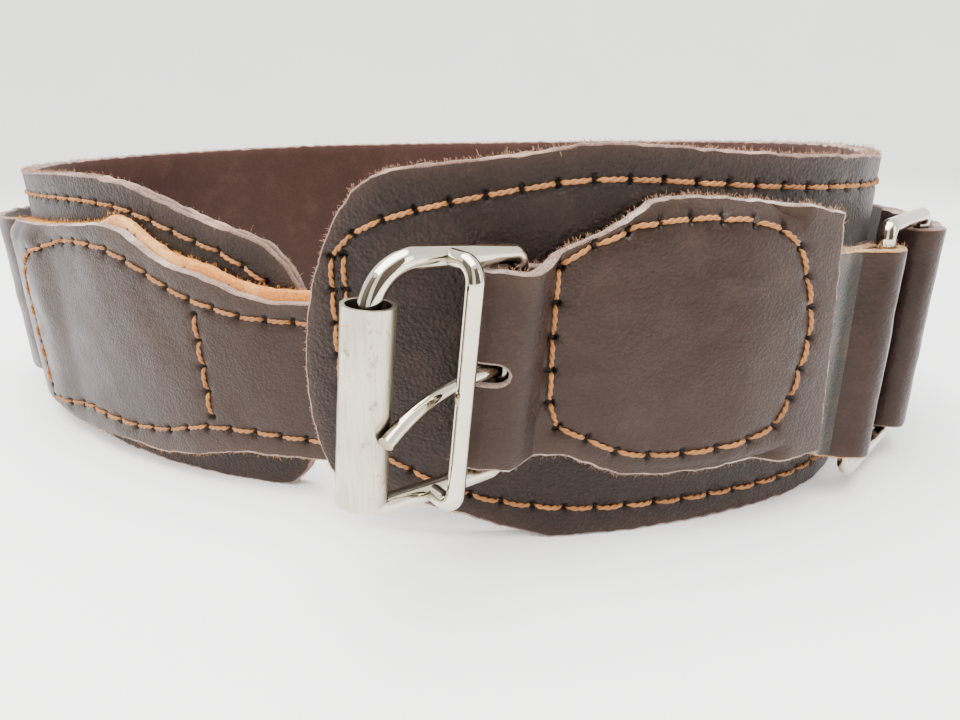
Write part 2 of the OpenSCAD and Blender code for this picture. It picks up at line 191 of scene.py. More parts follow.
def belt_low(s):
    """Lower edge of the wide belt."""
    line = soft_lookup(s, [(3, 12.5), (37, 9.9), (69, 0), (1003, 0)], 3)
    return line + 28.5 * quarter(s - TIP_S, 13) + 37 * quarter(LEFT_TIP_S - s, 18)


def patch_top(s):
    """Upper edge of the buckle patch, from the narrow neck at the fold."""
    neck = HEEL_Z + BILLET_W / 2
    return soft_lookup(s, [(40, neck), (63, neck), (67, 81.3), (76, 84.2), (84, 88.6), (89, 91.8),
                           (100, 92.3), (117, 91), (137, 88.6), (148, 85.7), (160, 82.5)], 2)


def patch_low(s):
    """Lower edge of the buckle patch."""
    neck = HEEL_Z - BILLET_W / 2
    return soft_lookup(s, [(40, neck), (74, neck), (79, 26), (90, 19.9), (99, 18.3), (115, 17.6),
                           (143, 18.6), (150, 17.5), (160, 17.0)], 2)


def left_top(s):
    """Upper edge of the billet's patch, down to the billet."""
    return soft_lookup(s, [(830, 77), (848, 78), (891, 79.7), (935, 82.5), (942.5, 80.7), (948, 76.6),
                           (958, 71.5), (971, 68.7), (980, 64.8), (991, LEFT_TOP), (1020, LEFT_TOP)], 2)


def left_low(s):
    """Lower edge of the billet's patch, up to the billet."""
    return soft_lookup(s, [(848, 3), (900, 6), (926, 7.9), (941, 7), (960, 9.6), (975, BILLET_LOW),
                           (1020, BILLET_LOW)], 2)


def rim(z, low, high):
    """0 at a stitched rim and 1 on the raised middle of a patch."""
    return ease(np.minimum(z - low - 1, high - 1 - z) / 5)


def patch_lift(s, z):
    """How far the patch's back is off the belt: down at its stitched rim, up over what lies under it."""
    under = soft_lookup(s, [(70, 2.95), (100, 3.1), (118, 5.7), (160, 5.7)], 2)
    raised = np.maximum(rim(z, patch_low(s), patch_top(s)), ease((96 - s) / 20))
    return GLUE + (under - GLUE) * np.maximum(raised, ease((s - 126) / 8))


def left_under(s, z):
    """How far the second layer's back is off the belt, over the tool strap's tail."""
    edge = ease(np.minimum(z - left_low(s), left_top(s) - z) / 6)
    return GLUE + soft_lookup(s, [(840, 2.9), (884, 2.9), (896, 0), (900, 0)], 2) * edge


def left_lift(s, z):
    """How far the billet patch's back is off the belt."""
    return left_under(s, z) + BILLET_LINING_T + 2 * GLUE


STRAP_REST = GLUE + STRAP_T / 2
NEAR_OFF = 9.3
FAR_OFF = 14
LOOP_R = RING_D / 2 + 0.6 + STRAP_T / 2
FAR_LOOP_R = LOOP_R + 1.2


def strap_off(s):
    """Middle of the tool strap off the belt: from the ring's far bar, along the belt, then a bulge."""
    lift = FAR_OFF + FAR_LOOP_R - STRAP_REST
    leaving = lift * np.cos(np.radians(90 * np.clip((s - FAR_S) / (STRAP_JOIN_S - FAR_S), 0, 1))) ** 2
    share = np.clip((STRAP_LAND_S - s) / (STRAP_LAND_S - STRAP_LEAVE_S), 0, 1)
    bulge = 15 * np.sin(math.pi * share ** 0.6)
    return STRAP_REST + np.where(s < PLAN_LEN / 2, leaving, bulge)


# ---------------- cutting and laying leather
def evenly(points, step, closed=False):
    """The same line through new points about step apart."""
    p = np.asarray(points, float)
    if closed:
        p = np.vstack([p, p[:1]])
    gone = np.concatenate([[0], np.cumsum(np.linalg.norm(np.diff(p, axis=0), axis=1))])
    n = max(2, int(round(gone[-1] / step)))
    at = np.linspace(0, gone[-1], n + 1)[: n if closed else n + 1]
    return np.stack([np.interp(at, gone, p[:, k]) for k in range(p.shape[1])], -1)


class Path:
    """A plan line as a middle surface: run is the length along it, from start."""

    def __init__(self, points, start=0.0, soft=24):
        points = np.asarray(points, float)[:, :2]
        line = evenly(points, 0.5)
        for _ in range(soft):
            line[1:-1] = (line[:-2] + 2 * line[1:-1] + line[2:]) / 4
        self.length = np.linalg.norm(np.diff(line, axis=0), axis=1).sum()
        line = np.vstack([line[0] + (line[0] - line[1]) * 8, line, line[-1] + (line[-1] - line[-2]) * 8])
        step = np.linalg.norm(np.diff(line, axis=0), axis=1)
        self.gone = start - step[0] + np.concatenate([[0], np.cumsum(step)])
        self.line = line

    def __call__(self, run, z):
        x, y = (np.interp(run, self.gone, self.line[:, k]) for k in range(2))
        return np.stack([x, y, z + 0 * x], -1)


def inset(loop, d):
    """A closed counterclockwise loop moved inward by d."""
    t = np.roll(loop, -1, 0) - np.roll(loop, 1, 0)
    t /= np.linalg.norm(t, axis=1)[:, None] + 1e-9
    return loop + np.stack([-t[:, 1], t[:, 0]], -1) * d


def within(points, loops):
    """True for the points inside the first loop and outside the others, by crossings."""
    x, y = points[:, 0], points[:, 1]
    odd = np.zeros(len(points), bool)
    for loop in loops:
        for (x0, y0), (x1, y1) in zip(loop, np.roll(loop, -1, 0)):
            if y0 != y1:
                odd ^= ((y0 > y) != (y1 > y)) & (x < (x1 - x0) * (y - y0) / (y1 - y0) + x0)
    return odd


def tree_of(points):
    tree = KDTree(len(points))
    for i, p in enumerate(points):
        tree.insert((p[0], p[1], 0), i)
    tree.balance()
    return tree


def distance(points, tree):
    return np.array([tree.find((p[0], p[1], 0))[2] for p in points])


def filled(loops, spacing, pits):
    """Points and triangles that fill the loops, with rings of points round each needle hole."""
    lo, hi = loops[0].min(0), loops[0].max(0)
    cols = np.arange(lo[0], hi[0], spacing)
    rows = np.arange(lo[1], hi[1], spacing)
    grid = np.stack(np.meshgrid(cols, rows, indexing="ij"), -1)
    grid[::2, :, 1] += spacing / 2
    grid = grid.reshape(-1, 2)
    grid = grid[within(grid, loops)]
    if len(pits):
        grid = grid[distance(grid, tree_of(pits)) > 2.0]
        rings = [pits]
        for r, n in ((0.55, 6), (1.2, 9)):
            for k in range(n):
                a = math.tau * k / n
                rings.append(pits + r * np.array([math.cos(a), math.sin(a)]))
        grid = np.vstack([grid, *rings])
    grid = grid[distance(grid, tree_of(np.vstack(loops))) > min(0.7, spacing * 0.5)]
    grid = grid[within(grid, loops)]
    points = np.vstack([*loops, grid])
    edges, start = [], 0
    for loop in loops:
        n = len(loop)
        edges += [(start + i, start + (i + 1) % n) for i in range(n)]
        start += n
    verts, _, faces, origin, _, _ = delaunay_2d_cdt([Vector(p) for p in points], edges, [], 0, 1e-5)
    back = np.array([o[0] if o else -1 for o in origin])
    tris = np.array([back[list(f)] for f in faces])
    tris = tris[(tris >= 0).all(1)]
    middle = points[tris].mean(1)
    return points, tris[within(middle, loops)]


GRAIN, FLESH, RAW_EDGE, EXTRA = range(4)   # material numbers of a sheet's triangles
ROUGH = 0.18   # how far a cut edge wanders
BEVEL = 0.55   # how wide the rounding of a cut edge is
# Rounding of a cut edge, from the grain side to the flesh side: (share inward of the cut, level)
EDGE = [(0.14, 0.86), (0, 0.55), (-0.04, 0.0), (0, -0.55), (0.14, -0.86)]
EDGE_SHARE = 0.62


class Sheet:
    """A laid piece of leather: vertices, triangles, a material number for each triangle, and marks."""

    def __init__(self, mid, thick, loops, spacing=2.5, pits=(), rows=(), relief=None, seed=1):
        self.mid, self.thick, self.relief = mid, thick, relief
        pits = np.asarray(pits, float).reshape(-1, 2)
        self.pit_tree = tree_of(pits) if len(pits) else None
        row_points = np.vstack([evenly(r, 0.8) for r in rows]) if len(rows) else None
        self.row_tree = tree_of(row_points) if row_points is not None else None
        draw = np.random.default_rng(seed)
        cut = []
        for k, loop in enumerate(loops):
            loop = evenly(loop, 1.3, closed=True)
            area = np.sum(loop[:, 0] * np.roll(loop[:, 1], -1) - np.roll(loop[:, 0], -1) * loop[:, 1])
            if (area > 0) != (k == 0):
                loop = loop[::-1]
            fine = draw.normal(0, 0.35, len(loop))
            wobble = ROUGH * (waves(loop[:, 0], loop[:, 1], 3.5, seed + 5) + fine)
            cut.append(inset(loop, wobble[:, None] if k == 0 else 0))
        self.cut = cut
        self.edge_tree = tree_of(cut[0])
        faces_in = [inset(loop, BEVEL) for loop in cut]
        flat, tris = filled(faces_in, spacing, pits)
        n = len(flat)
        h = thick / 2
        runs, heights, tri_list = [flat, flat], [np.full(n, h), np.full(n, -h)], [tris, tris[:, ::-1] + n]
        kinds = [np.full(len(tris), GRAIN), np.full(len(tris), FLESH)]
        offset, base = 2 * n, 0
        for loop, inner in zip(cut, faces_in):
            m = len(loop)
            rings = [np.arange(base, base + m)]
            for share, level in EDGE:
                runs.append(inset(loop, BEVEL * share / EDGE_SHARE))
                fray = draw.normal(0, 0.05, m) * thick / 2
                heights.append(np.full(m, level * h) + fray)
                rings.append(np.arange(offset, offset + m))
                offset += m
            rings.append(np.arange(n + base, n + base + m))
            base += m
            for a, b in zip(rings, rings[1:]):
                a2, b2 = np.roll(a, -1), np.roll(b, -1)
                tri_list += [np.stack([a, b, b2], -1), np.stack([a, b2, a2], -1)]
                kinds += [np.full(m, RAW_EDGE), np.full(m, RAW_EDGE)]
        self.run = np.vstack(runs)
        self.height = np.concatenate(heights)
        self.tris = np.vstack(tri_list)
        self.kind = np.concatenate(kinds)
        self.face_count = n
        self.verts = self.place(self.run, self.height)
        self.marks = self.marked()

    def marked(self):
        """How deep in a needle hole, how near the cut edge, each vertex is."""
        n = self.face_count
        pit = np.zeros(len(self.run))
        if self.pit_tree:
            pit[:n] = np.exp(-(distance(self.run[:n], self.pit_tree) / 1.0) ** 2)
        edge = np.ones(len(self.run))
        edge[: 2 * n] = np.exp(-distance(self.run[: 2 * n], self.edge_tree) / 2.2)
        return {"pit": pit, "rim": edge}

    def normal(self, run):
        e = 0.4
        along = self.mid(run[:, 0] + e, run[:, 1]) - self.mid(run[:, 0] - e, run[:, 1])
        up = self.mid(run[:, 0], run[:, 1] + e) - self.mid(run[:, 0], run[:, 1] - e)
        n = np.cross(along, up)
        return n / np.linalg.norm(n, axis=1)[:, None]

    def surface_height(self, run, pits=True):
        """Height of the grain side above the middle surface, with its relief, seams and needle holes."""
        h = np.full(len(run), self.thick / 2)
        if self.relief:
            h = h + self.relief(run[:, 0], run[:, 1])
        if self.row_tree:
            h = h - 0.4 * np.exp(-(distance(run, self.row_tree) / 1.7) ** 2)
        if pits and self.pit_tree:
            h = h - 1.5 * np.exp(-(distance(run, self.pit_tree) / 0.85) ** 2)
        return h

    def place(self, run, height):
        n = self.face_count
        h = np.array(height)
        h[:n] = self.surface_height(run[:n])
        return self.mid(run[:, 0], run[:, 1]) + self.normal(run) * h[:, None]

    def on_grain(self, run, above=0.0):
        """Points on the grain side, without needle holes, and the normals there."""
        run = np.asarray(run, float)
        n = self.normal(run)
        return self.mid(run[:, 0], run[:, 1]) + n * (self.surface_height(run, False) + above)[:, None], n


def linked(name, data):
    """A new object in the scene."""
    obj = bpy.data.objects.new(name, data)
    bpy.context.scene.collection.objects.link(obj)
    return obj


def mesh_object(name, verts, tris, materials, kind=None, uv=None, marks=None, normals=None):
    """A smooth-shaded object from arrays in millimetres."""
    me = bpy.data.meshes.new(name)
    me.from_pydata((np.asarray(verts) * MM).tolist(), [], np.asarray(tris).tolist())
    for m in materials:
        me.materials.append(m)
    if kind is not None:
        me.polygons.foreach_set("material_index", np.asarray(kind, np.int32))
    me.polygons.foreach_set("use_smooth", np.ones(len(me.polygons), bool))
    if uv is not None:
        layer = me.uv_layers.new(name="run")
        corners = np.asarray(uv)[np.asarray(tris).ravel()] * MM * 10
        layer.data.foreach_set("uv", corners.astype(np.float32).ravel())
    for key, values in (marks or {}).items():
        me.attributes.new(key, "FLOAT", "POINT").data.foreach_set("value", values.astype(np.float32))
    if normals is not None:
        me.normals_split_custom_set_from_vertices(normals.tolist())
    return linked(name, me)


def vertex_normals(verts, tris):
    """Area-weighted normals."""
    face = np.cross(verts[tris[:, 1]] - verts[tris[:, 0]], verts[tris[:, 2]] - verts[tris[:, 0]])
    n = np.zeros_like(verts)
    for k in range(3):
        np.add.at(n, tris[:, k], face)
    return n / (np.linalg.norm(n, axis=1)[:, None] + 1e-12)


def part_of(sheet, keep, name, materials):
    """An object from the triangles whose middle passes keep, with the whole sheet's normals."""
    middle = sheet.run[sheet.tris].mean(1)
    chosen = keep(middle[:, 0])
    tris = sheet.tris[chosen]
    used, new = np.unique(tris, return_inverse=True)
    normals = vertex_normals(sheet.verts, sheet.tris)
    return mesh_object(name, sheet.verts[used], new.reshape(-1, 3), materials, sheet.kind[chosen],
                       sheet.run[used], {k: v[used] for k, v in sheet.marks.items()}, normals[used])


def whole(sheet, name, materials):
    return part_of(sheet, lambda run: run > -1e9, name, materials)


# ---------------- stitches
def needle_holes(row):
    """Evenly spaced needle holes along a row of (run, z) points."""
    return evenly(row, STITCH_PITCH)


def pits_of(rows):
    """Two marks for each needle hole, side by side across the seam, so that the hole is long."""
    marks = []
    for row in rows:
        holes = needle_holes(row)
        way = np.gradient(holes, axis=0)
        across = np.stack([-way[:, 1], way[:, 0]], -1) / np.linalg.norm(way, axis=1)[:, None]
        marks += [holes - 0.55 * across, holes + 0.55 * across]
    return np.vstack(marks)


class Tubes:
    """Gathers many thin tubes into one mesh."""

    def __init__(self):
        self.verts, self.tris, self.tone, self.count = [], [], [], 0

    def add(self, lines, radius, sides, tones):
        """Tubes of the given radius along each line; lines is (tubes, points, 3)."""
        lines = np.asarray(lines)
        count, n = lines.shape[:2]
        t = np.gradient(lines, axis=1)
        t /= np.linalg.norm(t, axis=2)[..., None] + 1e-9
        upright = (np.abs(t[..., 2]).mean(1) > 0.8)[:, None, None]
        a = np.cross(t, np.where(upright, (1.0, 0, 0), (0, 0, 1.0)))
        a /= np.linalg.norm(a, axis=2)[..., None] + 1e-9
        b = np.cross(t, a)
        angle = (np.arange(sides) * math.tau / sides)[:, None]
        r = np.broadcast_to(radius, (count, n))[..., None, None]
        ring = lines[:, :, None] + r * (np.cos(angle) * a[:, :, None] + np.sin(angle) * b[:, :, None])
        i, j = np.meshgrid(np.arange(n - 1), np.arange(sides), indexing="ij")
        k = (j + 1) % sides
        p00, p01, p10, p11 = i * sides + j, i * sides + k, (i + 1) * sides + j, (i + 1) * sides + k
        tris = [np.stack(corners, -1).reshape(-1, 3) for corners in ([p00, p01, p11], [p00, p11, p10])]
        last = (n - 1) * sides
        tris.append([[0, q + 1, q] for q in range(1, sides - 1)])
        tris.append([[last, last + q, last + q + 1] for q in range(1, sides - 1)])
        tris = np.concatenate(tris)[:, ::-1]
        first = self.count + np.arange(count) * n * sides
        self.verts.append(ring.reshape(-1, 3))
        self.tris.append((tris + first[:, None, None]).reshape(-1, 3))
        self.tone.append(np.repeat(tones, n * sides))
        self.count += count * n * sides

    def object(self, name, material):
        verts, tris = np.vstack(self.verts), np.vstack(self.tris)
        return mesh_object(name, verts, tris, [material], marks={"tone": np.concatenate(self.tone)})


def stitch(tubes, sheet, start, end, draw):
    """One stitch of two-ply thread that rises out of a needle hole and dives into the next."""
    t = np.linspace(0.08, 0.92, 15)
    side = np.array([-(end - start)[1], (end - start)[0]])
    side /= np.linalg.norm(side)
    slant = draw.normal(0, 0.12)
    run = start + (end - start) * t[:, None] + side * ((t - 0.5) * slant * 2)[:, None]
    base, n = sheet.on_grain(run)
    arch = np.clip(np.sin(math.pi * (t - 0.08) / 0.84), 0, 1) ** 0.4
    line = base + n * (-1.15 + (1.15 + 0.42) * arch + draw.normal(0, 0.03))[:, None]
    across = np.cross(np.gradient(line, axis=0), n)
    across /= np.linalg.norm(across, axis=1)[:, None]
    length = np.linalg.norm(end - start)
    phase = draw.uniform(0, math.tau)
    turn = phase + math.tau * t * length / 4.2
    tone = draw.uniform(-1, 1)
    for k in range(2):
        a = turn + math.pi * k
        strand = line + 0.3 * (np.cos(a)[:, None] * across + np.sin(a)[:, None] * n)
        pinch = 0.42 * (0.75 + 0.25 * arch)
        tubes.add(strand[None], pinch, 6, [tone])


def sew(tubes, sheet, rows, seed):
    """A stitch from each needle hole of the rows to the next."""
    draw = np.random.default_rng(seed)
    for row in rows:
        holes = needle_holes(row)
        for a, b in zip(holes, holes[1:]):
            stitch(tubes, sheet, a, b, draw)


# ---------------- raw edges
FIBRE_LENGTH = (0.3, 1.0)
FLOOR_GAP = 0.1


def fibres(tubes, sheet, count, seed, keep=lambda run: run == run):
    """Loose fibres that stand out of the raw edge of a sheet."""
    draw = np.random.default_rng(seed)
    loop = sheet.cut[0]
    out = loop - inset(loop, 1.0)
    picks = draw.integers(0, len(loop), count)
    picks = picks[keep(loop[picks, 0])]
    count = len(picks)
    run = loop[picks] + draw.normal(0, 0.4, (count, 2))
    n = sheet.normal(run)
    level = n * (draw.uniform(-0.9, 0.95, count) * sheet.thick / 2)[:, None]
    root = sheet.mid(run[:, 0], run[:, 1]) + level
    tip = run + out[picks]
    ahead = sheet.mid(tip[:, 0], tip[:, 1]) + level - root
    ahead /= np.linalg.norm(ahead, axis=1)[:, None] + 1e-9
    way = ahead + draw.normal(0, 0.45, (count, 3))
    way /= np.linalg.norm(way, axis=1)[:, None]
    size = draw.uniform(*FIBRE_LENGTH, count) * np.where(draw.uniform(size=count) > 0.97, 2.0, 1.0)
    curl = draw.normal(0, 0.5, (count, 3))
    steps = np.linspace(0, 1, 4)[None, :, None]
    bent = way[:, None] * steps + curl[:, None] * steps ** 2 * 0.5
    lines = (root - ahead * 0.3)[:, None] + bent * size[:, None, None]
    lines[..., 2] = np.maximum(lines[..., 2], FLOOR_GAP)
    tubes.add(lines, np.linspace(0.08, 0.035, 4), 3, draw.uniform(-1, 1, count))


# ---------------- materials
class Look:
    """A node material under construction."""

    def __init__(self, name):
        self.material = bpy.data.materials.new(name)
        self.material.use_nodes = True
        self.tree = self.material.node_tree
        self.tree.nodes.clear()
        self.out = self.tree.nodes.new("ShaderNodeOutputMaterial")
        self.bsdf = self.tree.nodes.new("ShaderNodeBsdfPrincipled")
        self.tree.links.new(self.bsdf.outputs[0], self.out.inputs[0])

    def set(self, node, sockets):
        for key, value in sockets.items():
            socket = node.inputs[key]
            if isinstance(value, bpy.types.NodeSocket):
                self.tree.links.new(value, socket)
            else:
                socket.default_value = value

    def node(self, kind, sockets=None, **settings):
        n = self.tree.nodes.new("ShaderNode" + kind)
        for key, value in settings.items():
            setattr(n, key, value)
        self.set(n, sockets or {})
        return n

    def uv(self, scale=1.0):
        at = self.node("UVMap", uv_map="run").outputs[0]
        return self.node("Mapping", {"Vector": at, "Scale": (scale, scale, scale)}).outputs[0]

    def place(self, scale=(1, 1, 1)):
        at = self.node("TexCoord").outputs["Object"]
        return self.node("Mapping", {"Vector": at, "Scale": scale}).outputs[0]

    def noise(self, at, scale, detail=3.0, rough=0.55):
        sockets = {"Vector": at, "Scale": scale, "Detail": detail, "Roughness": rough}
        return self.node("TexNoise", sockets).outputs[0]

    def cells(self, at, scale, feature="DISTANCE_TO_EDGE"):
        return self.node("TexVoronoi", {"Vector": at, "Scale": scale}, feature=feature).outputs[0]

    def ramp(self, value, low, high, to_low=0.0, to_high=1.0):
        return self.node("MapRange", {"Value": value, "From Min": low, "From Max": high, "To Min": to_low,
                                      "To Max": to_high}).outputs[0]

    def math(self, operation, a, b=0.0):
        return self.node("Math", {0: a, 1: b}, operation=operation).outputs[0]

    def mix(self, share, a, b, blend="MIX"):
        return self.node("Mix", {0: share, 6: a, 7: b}, data_type="RGBA", blend_type=blend).outputs[2]

    def mark(self, name):
        return self.node("Attribute", attribute_name=name, attribute_type="GEOMETRY").outputs["Fac"]

    def bump(self, height, distance, strength=1.0, under=None):
        sockets = {"Height": height, "Distance": distance, "Strength": strength}
        if under is not None:
            sockets["Normal"] = under
        return self.node("Bump", sockets).outputs[0]


def rgb(r, g, b):
    """Linear colour from 0 to 255 display values."""
    return tuple(c / 255 / 12.92 if c <= 10 else ((c / 255 + 0.055) / 1.055) ** 2.4
                 for c in (r, g, b)) + (1.0,)


def shade(colour, share):
    """The same colour, darker or lighter."""
    return [c * share for c in colour[:3]] + [1]


def grain_look(name, colour, worn, grain=0.35, rough=0.5, sheen=0.15, pebble=95.0):
    """Finished leather: pebble grain, soft creases, blotches, painted shade in needle holes and rubbed
    rims.
    """
    look = Look(name)
    at = look.uv()
    cells = look.cells(at, pebble, "F1")
    fine = look.noise(at, pebble * 2.5, 2.0)
    broad = look.noise(at, 2.6, 4.0)
    blotch = look.noise(at, 9.0, 3.0)
    pores = look.ramp(cells, 0.2, 0.75, 1.0, 0.0)
    tone = look.mix(look.ramp(broad, 0.3, 0.7), shade(colour, 0.82), shade(colour, 1.2))
    tone = look.mix(look.ramp(blotch, 0.5, 0.75, 0.0, 0.35), tone, worn)
    low = look.math("MULTIPLY", look.ramp(pores, 0.0, 1.0, 1.0, 0.0), 0.45)
    tone = look.mix(low, tone, shade(colour, 0.45))
    tone = look.mix(look.math("MULTIPLY", look.mark("rim"), 0.5), tone, worn)
    # Painted shade: near-black colour in and round each needle hole
    tone = look.mix(look.ramp(look.mark("pit"), 0.12, 0.6), tone, (0.002, 0.0015, 0.001, 1))
    height = look.math("ADD", look.math("MULTIPLY", pores, 0.8), look.math("MULTIPLY", fine, 0.8))
    normal = look.bump(height, 0.00025, grain)
    creases = look.noise(look.uv(), 16.0, 5.0, 0.65)
    normal = look.bump(creases, 0.0009, 0.35, normal)
    roughness = look.ramp(blotch, 0.3, 0.7, rough - 0.06, rough + 0.08)
    look.set(look.bsdf, {"Base Color": tone, "Roughness": roughness, "Normal": normal,
                         "Specular IOR Level": 0.24, "Specular Tint": (1.0, 0.86, 0.76, 1),
                         "Sheen Weight": sheen, "Sheen Roughness": 0.4,
                         "Sheen Tint": (0.75, 0.68, 0.72, 1)})
    return look.material


def raw_look(name, colour, dark, pale, scale=900.0):
    """Raw cut edge or flesh side: fibrous, matt and uneven."""
    look = Look(name)
    at = look.place()
    fibre = look.noise(at, scale, 5.0, 0.7)
    broad = look.noise(at, 70.0, 3.0)
    tone = look.mix(look.ramp(fibre, 0.35, 0.65), dark, colour)
    tone = look.mix(look.ramp(broad, 0.5, 0.75, 0.0, 0.8), tone, pale)
    look.set(look.bsdf, {"Base Color": tone, "Roughness": look.ramp(fibre, 0, 1, 0.8, 0.98),
                         "Specular IOR Level": 0.25, "Normal": look.bump(fibre, 0.0006, 0.8),
                         "Sheen Weight": 0.3, "Sheen Roughness": 0.6})
    return look.material


def thread_look(name, colour, dirty):
    """Waxed thread: fine lengthwise fibres, a tone of its own for each stitch."""
    look = Look(name)
    at = look.place()
    fibre = look.noise(at, 2600.0, 3.0)
    stain = look.noise(at, 60.0, 2.0)
    tone = look.mix(look.ramp(look.mark("tone"), -1, 1, 0.0, 0.45), colour, dirty)
    tone = look.mix(look.ramp(stain, 0.5, 0.7, 0.0, 0.6), tone, dirty)
    tone = look.mix(look.ramp(fibre, 0.3, 0.7, 0.0, 0.35), tone, shade(colour, 1.5))
    look.set(look.bsdf, {"Base Color": tone, "Roughness": look.ramp(fibre, 0, 1, 0.5, 0.75),
                         "Normal": look.bump(fibre, 0.0001, 0.6), "Specular IOR Level": 0.4})
    return look.material


def fibre_look(name, colour, dark):
    """Loose fibres, each with a tone of its own."""
    look = Look(name)
    tone = look.mix(look.ramp(look.mark("tone"), -1, 1), dark, colour)
    roughness = look.ramp(look.mark("tone"), -1, 1, 0.7, 0.9)
    look.set(look.bsdf, {"Base Color": tone, "Roughness": roughness})
    return look.material


def nickel_look(name, colour, rough, brushed=0.0, spots=0.0):
    """Plated steel: faint haze, drawing lines along Z, painted shade in hollows and a few tarnish spots.
    """
    look = Look(name)
    at = look.place()
    haze = look.noise(at, 90.0, 4.0)
    lines = look.noise(look.place((1, 1, 0.03)), 2200.0, 2.0)
    spot_at = look.noise(at, 260.0, 4.0, 0.6)
    tone = look.mix(look.ramp(haze, 0.35, 0.7), colour, shade(colour, 0.86))
    drawn = look.math("MULTIPLY", look.ramp(lines, 0.45, 0.7), brushed)
    tone = look.mix(drawn, tone, shade(colour, 0.6))
    # Painted shade: the base colour goes near black where ambient occlusion finds close surfaces, in the
    # roller's bore and where metal meets leather
    painted_shade_ao = look.node("AmbientOcclusion", {"Distance": 0.006}, samples=6).outputs["AO"]
    tone = look.mix(look.ramp(painted_shade_ao, 0.15, 0.75), (0.03, 0.022, 0.015, 1), tone)
    spot = look.math("MULTIPLY", look.ramp(spot_at, 0.6, 0.68), spots)
    tone = look.mix(spot, tone, (0.16, 0.09, 0.035, 1))
    hazy = look.ramp(haze, 0.3, 0.7, rough * 0.8, rough * 1.3)
    roughness = look.math("ADD", hazy, look.math("MULTIPLY", lines, brushed * 0.15))
    look.set(look.bsdf, {"Base Color": tone, "Metallic": look.ramp(spot, 0, 1, 1.0, 0.4),
                         "Roughness": roughness, "Normal": look.bump(lines, 0.00006, 0.15 + brushed)})
    return look.material


LEATHER = rgb(22, 14, 12)
WORN = rgb(62, 45, 38)
outer_grain = grain_look("outer_grain", LEATHER, WORN, grain=1.0, rough=0.4, sheen=0.0)
patch_grain = grain_look("patch_grain", rgb(37, 24, 19), rgb(66, 50, 40), grain=0.4, rough=0.36,
                         sheen=0.02, pebble=120)
strap_grain = grain_look("strap_grain", rgb(32, 18, 15), WORN, grain=0.3, rough=0.38, sheen=0.02)
lining_grain = grain_look("lining_grain", rgb(50, 30, 25), rgb(84, 56, 50), grain=0.15, rough=0.45,
                          sheen=0.02)
raw_edge = raw_look("raw_edge", rgb(126, 86, 64), rgb(58, 34, 25), rgb(196, 160, 136), 1500.0)
flesh = raw_look("flesh", rgb(62, 41, 32), rgb(40, 26, 20), rgb(92, 66, 54))
tan_edge = raw_look("tan_edge", rgb(190, 132, 50), rgb(96, 60, 26), rgb(226, 200, 140), 1500.0)
pale_edge = raw_look("pale_edge", rgb(220, 138, 14), rgb(168, 88, 10), rgb(232, 196, 110), 1300.0)
patch_edge = raw_look("patch_edge", rgb(158, 128, 112), rgb(76, 52, 42), rgb(216, 200, 190), 1500.0)
# Dark olive suede for the ring loop's outer tail, darker than bare suede as painted shade of the valley
# between the patch's end and the loop
olive = raw_look("olive_suede_and_shade", rgb(38, 31, 19), rgb(20, 16, 11), rgb(74, 60, 32), 1100.0)
thread = thread_look("thread", rgb(146, 94, 44), rgb(78, 46, 22))
fuzz_tan = fibre_look("fuzz_tan", rgb(176, 134, 100), rgb(92, 60, 42))
fuzz_gold = fibre_look("fuzz_gold", rgb(226, 156, 34), rgb(160, 92, 20))

# ---------------- the wide belt
def belt_outline():
    near = 28 * (1 - np.cos(np.radians(np.linspace(0, 90, 30))))
    s = np.concatenate([TIP_S + near, np.arange(33, LEFT_TIP_S - 29, 2.0), (LEFT_TIP_S - near)[::-1]])
    low = np.stack([s, belt_low(s)], -1)
    high = np.stack([s, belt_top(s)], -1)[::-1]
    return np.vstack([low, high])


def top_row(stations):
    s = np.array(stations, float)
    return np.stack([s, belt_top(s) - 8], -1)


# Stitch rows as (s, z); they stop on each side of the split between the front and back leather
wing_rows = [np.vstack([[[13.5, 35], [13.5, 78], [20, 84], [29, 88], [44, 91.5]],
                        top_row([60, 77, 92] + list(range(100, 440, 10)) + [443])]),
             np.array([[24, 24], [30, 20.6], [37, 17.4], [50, 12.5], [60, 10.6], [72, 9], [90, 8],
                       [130, 7], [443, 7]]),
             np.array([[17.2, 34], [17.2, 79]])]
rear_rows = [np.vstack([top_row([452] + list(range(460, 900, 10)) + [915, 930, 940, 953, 976]),
                        [[988, 66.5]]]),
             np.array([[452, 7], [836, 7]], float)]
belt_pits = pits_of(wing_rows + rear_rows)


def belt_relief(s, z):
    """Slow and quick unevenness of the grain side, in millimetres."""
    return 0.25 * waves(s, z, 38, 3) + 0.08 * waves(s, z, 9, 4)


outer = Sheet(lambda s, z: spot(s, -OUTER_T / 2, z), OUTER_T, [belt_outline()], 2.6, belt_pits,
              wing_rows + rear_rows, belt_relief, seed=11)
lining_off = -OUTER_T - GLUE - LINING_T / 2
lining = Sheet(lambda s, z: spot(s, lining_off, z), LINING_T, [belt_outline()], 3.0, seed=12)


def bends(obj):
    """Wing leather, with its place baked into its mesh."""
    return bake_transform(obj)


def in_wing(run):
    return run < SPLIT_S


def in_rear(run):
    return run >= SPLIT_S


for name, sheet, looks in (("belt_outer", outer, [outer_grain, flesh, raw_edge]),
                           ("belt_lining", lining, [flesh, lining_grain, raw_edge])):
    wing = part_of(sheet, in_wing, name + "_front", looks)
    rear = part_of(sheet, in_rear, name + "_back", looks)
    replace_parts(bends(wing), name + "_wing")
    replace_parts(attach(rear, "rear"), name + "_rear")

# ---------------- the tool strap
near_bar = spot(np.array([NEAR_S]), NEAR_OFF, 0)[0]
far_bar = spot(np.array([FAR_S]), FAR_OFF, 0)[0]
near_h = walk(np.array([NEAR_S]))[2][0]
far_h = walk(np.array([FAR_S]))[2][0]


